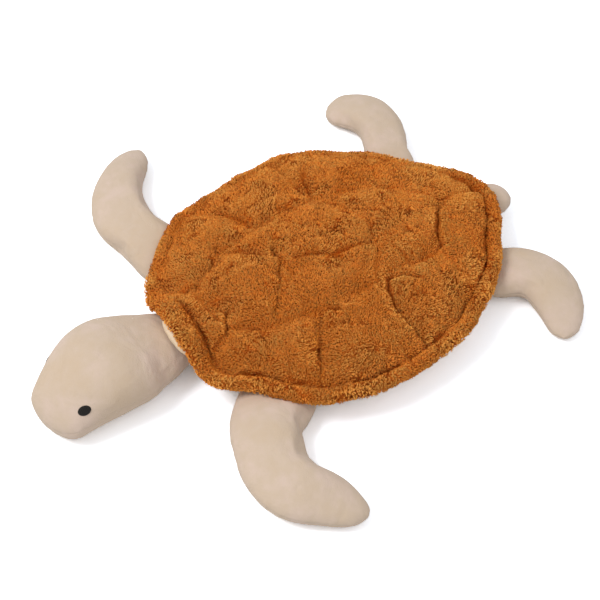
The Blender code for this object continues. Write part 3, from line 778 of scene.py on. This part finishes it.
def pile_tree(lock, skin, area):
    """Geometry nodes that root locks on a skin and comb them into wandering curls."""
    tree = bpy.data.node_groups.new("Teddy pile", "GeometryNodeTree")
    tree.interface.new_socket("Geometry", in_out="INPUT", socket_type="NodeSocketGeometry")
    tree.interface.new_socket("Geometry", in_out="OUTPUT", socket_type="NodeSocketGeometry")
    source = add_node(tree, "NodeGroupInput").outputs["Geometry"]
    grown = add_node(tree, "GeometryNodeInputNamedAttribute", {"Name": "pile"}, data_type="FLOAT")
    roots = add_node(tree, "GeometryNodeDistributePointsOnFaces", {
        "Mesh": source, "Selection": grown.outputs["Attribute"], "Density": skin.tufts / area, "Seed": 11})
    spot = add_node(tree, "GeometryNodeInputPosition").outputs["Position"]
    # Large drifts of the pile 33 mm across, curls at their own spacing, and each lock's own way
    drift = add_node(tree, "ShaderNodeTexNoise", {"Vector": spot, "Scale": 30.0, "Detail": 1.0})
    swirl = add_node(tree, "ShaderNodeTexNoise", {"Vector": spot, "Scale": 0.42 / skin.curl, "Detail": 1.0})
    curls = add_node(tree, "ShaderNodeTexVoronoi", {"Vector": spot, "Scale": 1 / skin.curl})
    own = add_node(tree, "FunctionNodeRandomValue", {0: (-1.0, -1.0, -1.0), 1: (1.0, 1.0, 1.0), "Seed": 5},
                   data_type="FLOAT_VECTOR")

    def vector(operation, *values):
        return add_node(tree, "ShaderNodeVectorMath", dict(enumerate(values)),
                        operation=operation).outputs["Vector"]

    def scaled(value, factor):
        return add_node(tree, "ShaderNodeVectorMath", {0: value, "Scale": factor},
                        operation="SCALE").outputs["Vector"]

    def number(operation, *values):
        return add_node(tree, "ShaderNodeMath", dict(enumerate(values)),
                        operation=operation).outputs["Value"]

    middle = (0.5, 0.5, 0.5)
    way = scaled(vector("SUBTRACT", drift.outputs["Color"], middle), 9.0)
    way = vector("ADD", way, scaled(vector("SUBTRACT", swirl.outputs["Color"], middle), 4.5))
    inward = vector("SUBTRACT", curls.outputs["Position"], spot)
    way = vector("ADD", way, scaled(inward, 0.5 / skin.curl))
    way = vector("ADD", way, scaled(own.outputs["Value"], 0.16))
    turn = add_node(tree, "FunctionNodeAxesToRotation", {
        "Primary Axis": roots.outputs["Normal"], "Secondary Axis": way}, primary_axis="Z",
        secondary_axis="X")
    seam = add_node(tree, "GeometryNodeInputNamedAttribute", {"Name": "seam"}, data_type="FLOAT")
    size = add_node(tree, "FunctionNodeRandomValue", {2: 0.72, 3: 1.18, "Seed": 8}, data_type="FLOAT")
    length = number("MULTIPLY", size.outputs[1], number("SUBTRACT", 1.0, number(
        "MULTIPLY", seam.outputs["Attribute"], 0.55)))
    chance = add_node(tree, "FunctionNodeRandomValue", {2: 0.0, 3: 1.0, "Seed": 2}, data_type="FLOAT")
    patch = add_node(tree, "ShaderNodeTexNoise", {"Vector": spot, "Scale": 34.0, "Detail": 3.0})
    tone = number("ADD", number("MULTIPLY", chance.outputs[1], 0.26),
                  number("MULTIPLY", number("SUBTRACT", patch.outputs["Fac"], 0.5), 1.1))
    tone = number("ADD", tone, 0.30)
    # Painted shade: locks in the seams and creases are darkened, standing in for the shade in them
    tone = number("SUBTRACT", tone, number("MULTIPLY", seam.outputs["Attribute"], 0.80))
    tone = add_node(tree, "ShaderNodeClamp", {"Value": tone, "Min": 0.01, "Max": 0.97}).outputs["Result"]
    marked = add_node(tree, "GeometryNodeStoreNamedAttribute", {
        "Geometry": roots.outputs["Points"], "Name": "tone", "Value": tone}, data_type="FLOAT",
        domain="POINT")
    shape = add_node(tree, "GeometryNodeObjectInfo", {"Object": lock})
    locks = add_node(tree, "GeometryNodeInstanceOnPoints", {
        "Points": marked.outputs["Geometry"], "Instance": shape.outputs["Geometry"],
        "Rotation": turn.outputs["Rotation"], "Scale": length})
    real = add_node(tree, "GeometryNodeRealizeInstances", {"Geometry": locks.outputs["Instances"]})
    read = [add_node(tree, "GeometryNodeInputNamedAttribute", {"Name": name}, data_type="FLOAT")
            .outputs["Attribute"] for name in ("tone", "along", "side")]
    place = add_node(tree, "ShaderNodeCombineXYZ", {
        "X": number("ADD", read[0], number("MULTIPLY", read[2], 0.02)), "Y": read[1]})
    mapped = add_node(tree, "GeometryNodeStoreNamedAttribute", {
        "Geometry": real.outputs["Geometry"], "Name": "OFBake", "Value": place.outputs["Vector"]},
        data_type="FLOAT2", domain="CORNER")
    add_node(tree, "NodeGroupOutput", {"Geometry": mapped.outputs["Geometry"]})
    return tree


class TURTLE_OT_pile(bpy.types.Operator):
    """Grow the shell's curly pile as combed locks"""
    bl_idname = "turtle.pile"
    bl_label = "Curly pile"

    def execute(self, context):
        skin = context.scene.turtle_shell
        source = bpy.data.objects["pile_source"]
        lock = new_piece("lock", lock_form())
        area = sum(face.area for face in source.data.polygons)
        tree = pile_tree(lock, skin, area)
        material = teddy_pile(context.scene.turtle_colours)
        for part in range(PILE_PARTS):
            bm = bmesh.new()
            bm.from_mesh(source.data)
            outside = []
            for face in bm.faces:
                spot = face.calc_center_median()
                turn = math.atan2(spot.x, spot.y - SHELL_MIDDLE) / math.tau + 0.5
                if min(PILE_PARTS - 1, int(turn * PILE_PARTS)) != part:
                    outside.append(face)
            bmesh.ops.delete(bm, geom=outside, context="FACES")
            piece = new_piece("shell_pile_%d" % (part + 1), bm)
            piece.modifiers.new("Pile", "NODES").node_group = tree
            apply_modifiers(piece)
            piece.data.materials.clear()
            piece.data.materials.append(material)
            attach(piece, "body")
        bpy.data.objects.remove(lock)
        bpy.data.objects.remove(source)
        return {"FINISHED"}


class TURTLE_OT_body(bpy.types.Operator):
    """Stuff the cream body bag below the shell"""
    bl_idname = "turtle.body"
    bl_label = "Body bag"

    def execute(self, context):
        skin = context.scene.turtle_shell
        colours = context.scene.turtle_colours
        outline, out = outline_points(120)
        centre = np.array((0.0, SHELL_MIDDLE))
        rings = []
        rise = np.array([collar_lift(x, y, 1.0, skin.collar) for x, y in outline])

        def belly(share, height):
            plan = centre + (outline - out * 0.027 - centre) * share
            rings.append([Vector((x, y, height)) for x, y in plan])

        def flank(inset, height, follow=0.0):
            plan = outline - out * inset
            rings.append([Vector((x, y, height + lift * follow)) for (x, y), lift in zip(plan, rise)])

        belly(0.30, 0.0004)
        belly(0.65, 0.0004)
        belly(0.92, 0.0006)
        flank(0.022, 0.0018)
        flank(0.0135, 0.0062)
        flank(0.0090, 0.0125)
        flank(0.0078, 0.0190)
        flank(0.0100, 0.0240, 0.8)
        flank(0.0150, 0.0265, 0.9)
        for share in (0.80, 0.55, 0.28):
            plan = centre + (outline - out * 0.013 - centre) * share
            heights = [body_height(share, skin) - 0.007 + collar_lift(x, y, share, skin.collar)
                       for x, y in plan]
            rings.append([Vector((x, y, h)) for (x, y), h in zip(plan, heights)])
        bm = ring_loft(rings)
        close_ends(bm)
        obj = new_piece("body_bag", bm, cream_plush(colours))
        mark_seam(obj, [0.0215] * len(obj.data.vertices))
        filling = fill_skin(obj, "body_filling", "body_stuffing", skin.cloth, fibre_fill(colours))
        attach(filling, "body")
        refine(obj, 1)
        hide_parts("belly_panel", "shell_lining")
        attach(obj, "body")
        return {"FINISHED"}


class TURTLE_OT_collar(bpy.types.Operator):
    """Turn the cream lining out along the collar's lower edge"""
    bl_idname = "turtle.collar"
    bl_label = "Collar lining"

    def execute(self, context):
        skin = context.scene.turtle_shell
        outline, out = outline_points(400)
        centre, reach = 0.006, 0.022
        path = [(x, y, n) for (x, y), n in zip(outline, out) if abs(x - centre) < reach and y < 0]
        path.sort(key=lambda row: row[0])
        rings = []
        for x, y, normal in path:
            lift = collar_lift(x, y, 1.0, skin.collar)
            ends = math.sqrt(max(0.02, 1 - ((x - centre) / reach) ** 2))
            plump = 1 + 0.35 * noise.noise(Vector((x, y, 4.0)) / 0.007)
            proud = 0.0020 - 0.0060 * (1 - ends)
            middle = Vector((x + normal[0] * proud, y + normal[1] * proud - 0.0010 * lift / skin.collar,
                             0.0256 + lift))
            rings.append([middle + Vector((normal[0] * math.cos(a), normal[1] * math.cos(a),
                                           1.35 * math.sin(a))) * 0.0027 * ends * plump
                          for a in (math.tau * k / 14 for k in range(14))])
        bm = ring_loft(rings)
        close_ends(bm)
        obj = new_piece("collar_lining", bm, cotton_lining(context.scene.turtle_colours))
        refine(obj, 1)
        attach(obj, "body")
        return {"FINISHED"}


class TURTLE_OT_limbs(bpy.types.Operator):
    """Sew and stuff the four flippers and the tail"""
    bl_idname = "turtle.limbs"
    bl_label = "Flippers and tail"

    def execute(self, context):
        skins = context.scene.turtle_skins
        colours = context.scene.turtle_colours
        cream = cream_plush(colours)
        fibres = fibre_fill(colours)
        for name, table, inner, outer in (
                ("front_left_flipper", FRONT_LEFT, 0.010, 0.022),
                ("front_right_flipper", FRONT_RIGHT, 0.010, 0.022),
                ("rear_left_flipper", REAR_LEFT, 0.010, 0.020),
                ("rear_right_flipper", REAR_RIGHT, 0.010, 0.020),
                ("tail", TAIL, 0.008, 0.010)):
            obj = new_piece(name + "_skin", stuffed_form(table), cream)
            stuff(obj, skins)
            settle(obj, skins, skins.floor)
            obj.data.materials.clear()
            obj.data.materials.append(cream)
            filling = fill_skin(obj, name + "_filling", name + "_stuffing", skins.cloth, fibres)
            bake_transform(filling)
            mark_seam(obj, limb_seam(obj, table))
            refine(obj, 2)
            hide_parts(name + "_upper_panel", name + "_lower_panel")
            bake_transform(obj)
        return {"FINISHED"}


class TURTLE_OT_head(bpy.types.Operator):
    """Sew and stuff the head, and stitch its eyes"""
    bl_idname = "turtle.head"
    bl_label = "Head and eyes"

    def execute(self, context):
        skins = context.scene.turtle_skins
        colours = context.scene.turtle_colours
        cream = cream_plush(colours)
        obj = new_piece("head_skin", stuffed_form(HEAD, 32, 40), cream)
        stuff(obj, skins)
        settle(obj, skins, skins.floor)
        obj.data.materials.clear()
        obj.data.materials.append(cream)
        filling = fill_skin(obj, "head_filling", "head_stuffing", skins.cloth, fibre_fill(colours))
        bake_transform(filling)
        path = through(HEAD, 240, round_tip=True)[::-1] * MM
        mark_seam(obj, [np.interp(v.co.y, path[:, 1], path[:, 4]) for v in obj.data.vertices])
        refine(obj, 2)
        thread = satin_thread(colours)
        for name, side in (("left_eye", 1), ("right_eye", -1)):
            low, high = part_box(name)
            level = (low + high) / 2
            start = Vector((side * 0.2, level.y, level.z - (0.0044 if side > 0 else 0.0114)))
            hit, place, normal, face = obj.ray_cast(start, Vector((-side, 0, 0)))
            forward = (Vector((0, -1, 0)) + normal * normal.y).normalized()
            turn = Matrix((forward, normal.cross(forward), normal)).transposed().to_4x4()
            bm = bmesh.new()
            bmesh.ops.create_uvsphere(bm, u_segments=40, v_segments=20, radius=1.0,
                                      matrix=Matrix.Translation(place) @ turn
                                      @ Matrix.Diagonal((0.0053, 0.0038, 0.0009, 1.0)))
            eye = new_piece(name + "_stitching", bm, thread)
            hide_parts(name)
            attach(eye, "head")
        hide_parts("head_upper_panel", "head_lower_panel")
        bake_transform(obj)
        return {"FINISHED"}


def aim(obj, place, target):
    obj.location = place
    obj.rotation_mode = "QUATERNION"
    obj.rotation_quaternion = (Vector(target) - Vector(place)).to_track_quat("-Z", "Y")


class TURTLE_OT_stage(bpy.types.Operator):
    """Set the pale floor, the soft lamps and the camera"""
    bl_idname = "turtle.stage"
    bl_label = "Studio"

    def execute(self, context):
        scene = context.scene
        scene.view_settings.view_transform = "Standard"
        bm = bmesh.new()
        bmesh.ops.create_grid(bm, x_segments=1, y_segments=1, size=6.0)
        material, tree, shader = start_material("white_paper_sweep", 0.9)
        tree.nodes.remove(shader)
        rays = add_node(tree, "ShaderNodeLightPath").outputs
        seen = add_node(tree, "ShaderNodeMath", {0: rays["Is Camera Ray"], 1: rays["Is Glossy Ray"]},
                        operation="ADD")
        seen = add_node(tree, "ShaderNodeMath", {0: seen.outputs["Value"],
                                                 1: rays["Is Transmission Ray"]}, operation="ADD")
        seen.use_clamp = True
        # The camera sees the paper brighter than it lights the toy, so that it is white up to the shadows
        shade = add_node(tree, "ShaderNodeMix", {"Factor": seen.outputs["Value"],
                                                 "A": (0.72, 0.72, 0.72, 1.0), "B": (1.84, 1.93, 2.05, 1.0)},
                         data_type="RGBA", clamp_factor=True)
        paper = add_node(tree, "ShaderNodeBsdfDiffuse", {"Color": shade.outputs["Result"]})
        tree.links.new(paper.outputs["BSDF"], tree.nodes["Material Output"].inputs["Surface"])
        floor = new_piece("floor", bm, material)

        world = bpy.data.worlds.new("Studio")
        scene.world = world
        world.use_nodes = True
        sky = world.node_tree
        sky.nodes.clear()
        rays = add_node(sky, "ShaderNodeLightPath").outputs
        seen = add_node(sky, "ShaderNodeMath", {0: rays["Is Camera Ray"], 1: rays["Is Glossy Ray"]},
                        operation="ADD")
        seen = add_node(sky, "ShaderNodeMath", {0: seen.outputs["Value"], 1: rays["Is Transmission Ray"]},
                        operation="ADD")
        seen.use_clamp = True
        strength = add_node(sky, "ShaderNodeMapRange", {"Value": seen.outputs["Value"], "To Min": 0.535,
                                                        "To Max": 1.0})
        light = add_node(sky, "ShaderNodeBackground", {"Color": (1.0, 1.0, 1.0, 1.0),
                                                       "Strength": strength.outputs["Result"]})
        add_node(sky, "ShaderNodeOutputWorld", {"Surface": light.outputs["Background"]})

        for name, place, size, power in (("Key", (-0.65, -1.48, 2.3), 1.3, 34.0),
                                         ("Fill", (1.2, 0.2, 1.5), 1.5, 3.8)):
            lamp = bpy.data.lights.new(name, "AREA")
            lamp.size = size
            lamp.energy = power
            obj = bpy.data.objects.new(name, lamp)
            scene.collection.objects.link(obj)
            aim(obj, place, (0.0, 0.02, 0.0))

        camera = bpy.data.cameras.new("Camera")
        camera.lens = 96.0
        camera.sensor_width = 36.0
        camera.clip_start = 0.05
        obj = bpy.data.objects.new("Camera", camera)
        scene.collection.objects.link(obj)
        turn, rise = math.radians(58.0), math.radians(50.0)
        target = Vector((-0.002, 0.019, 0.0))
        back = Vector((math.sin(turn) * math.cos(rise), -math.cos(turn) * math.cos(rise), math.sin(rise)))
        aim(obj, target + back * 1.331, target)
        scene.camera = obj
        return {"FINISHED"}


class TURTLE_PT_panel(bpy.types.Panel):
    """Sizes, colours and steps of the plush turtle"""
    bl_idname = "TURTLE_PT_panel"
    bl_label = "Plush Turtle"
    bl_space_type = "VIEW_3D"
    bl_region_type = "UI"
    bl_category = "Plush Turtle"

    def draw(self, context):
        for name in SETTINGS:
            settings = getattr(context.scene, name)
            box = self.layout.box()
            for prop in settings.bl_rna.properties:
                if prop.identifier not in ("rna_type", "name"):
                    box.prop(settings, prop.identifier)
        for step in STEPS:
            self.layout.operator(step)


SETTINGS = {
    "turtle_shell": TurtleShellSettings,
    "turtle_skins": TurtleSkinSettings,
    "turtle_colours": TurtleColourSettings,
}
STEPS = ("turtle.stage", "turtle.body", "turtle.shell", "turtle.pile", "turtle.collar", "turtle.limbs",
         "turtle.head")
CLASSES = (
    *SETTINGS.values(), TURTLE_OT_stage, TURTLE_OT_body, TURTLE_OT_shell, TURTLE_OT_pile, TURTLE_OT_collar,
    TURTLE_OT_limbs, TURTLE_OT_head, TURTLE_PT_panel,
)


def register():
    for cls in CLASSES:
        bpy.utils.register_class(cls)
    for name, group in SETTINGS.items():
        setattr(bpy.types.Scene, name, PointerProperty(type=group))


def unregister():
    for name in SETTINGS:
        delattr(bpy.types.Scene, name)
    for cls in reversed(CLASSES):
        bpy.utils.unregister_class(cls)


def main():
    register()
    for step in STEPS:
        group, action = step.split(".")
        if getattr(getattr(bpy.ops, group), action)() != {"FINISHED"}:
            raise RuntimeError(step + " did not finish")


if __name__ == "__main__":
    main()
